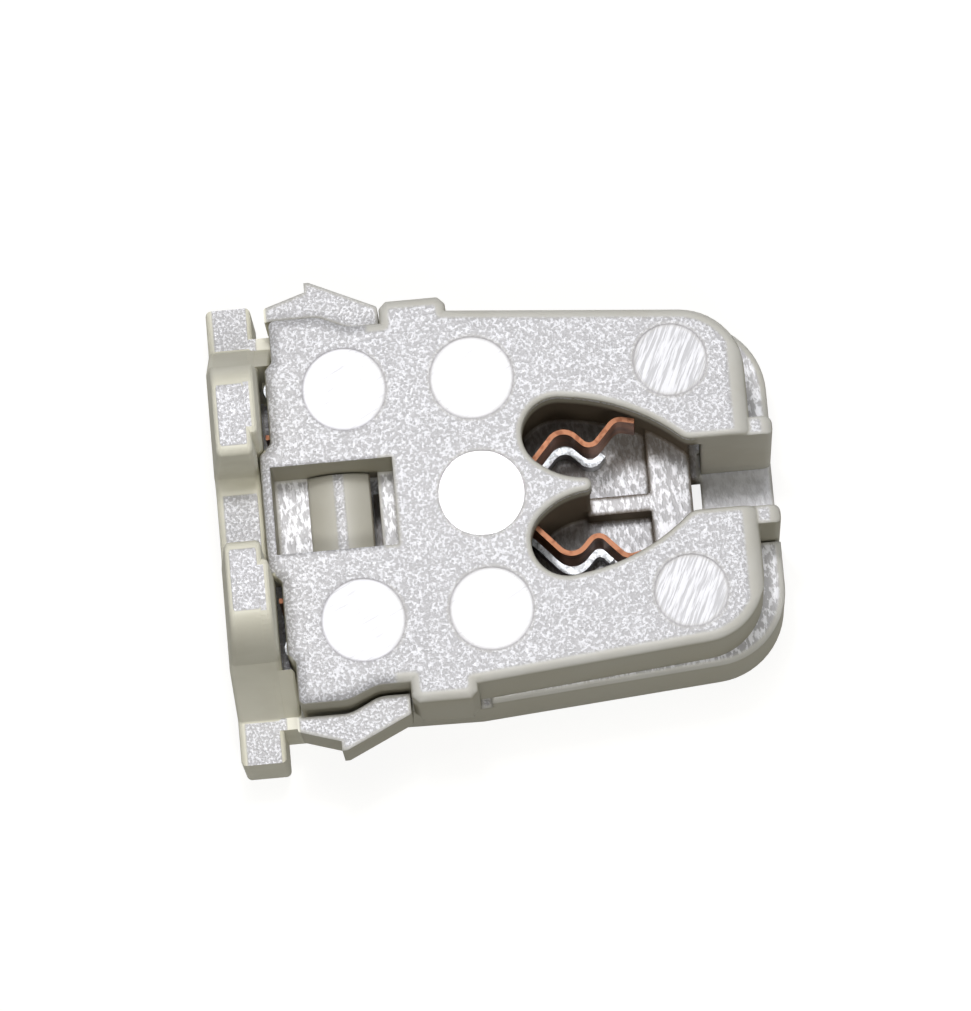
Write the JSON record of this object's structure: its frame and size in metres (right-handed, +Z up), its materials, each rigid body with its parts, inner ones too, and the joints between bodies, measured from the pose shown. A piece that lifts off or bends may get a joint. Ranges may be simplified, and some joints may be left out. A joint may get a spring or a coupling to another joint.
{
  "type": "lamp holder",
  "caption": "Snap-in holder for a miniature bi-pin tube lamp: moulded housing and front cover with an open lamp slot, wave-shaped contacts, side barbs, a latch and a foot plate.",
  "frame": {"origin": "on the holder's centre line, at the middle of the width of its flat back", "axes": "+X from the foot plate to the open end of the lamp slot, +Y across the two poles, +Z up through the front face"},
  "size_m": [0.0249, 0.0212, 0.0129],
  "materials": {
    "ivory_plastic": "fine texture with smooth edges",
    "bronze_strip": "bare spring bronze",
    "spring_steel": "bright strip"
  },
  "bodies": {
    "root": {"housing": "ivory_plastic", "front_cover": "ivory_plastic", "contact_strip_left": "bronze_strip", "contact_strip_right": "bronze_strip", "pressure_spring_left": "spring_steel", "pressure_spring_right": "spring_steel", "wire_clamp_left": "spring_steel", "wire_clamp_right": "spring_steel"}
  },
  "joints": []
}
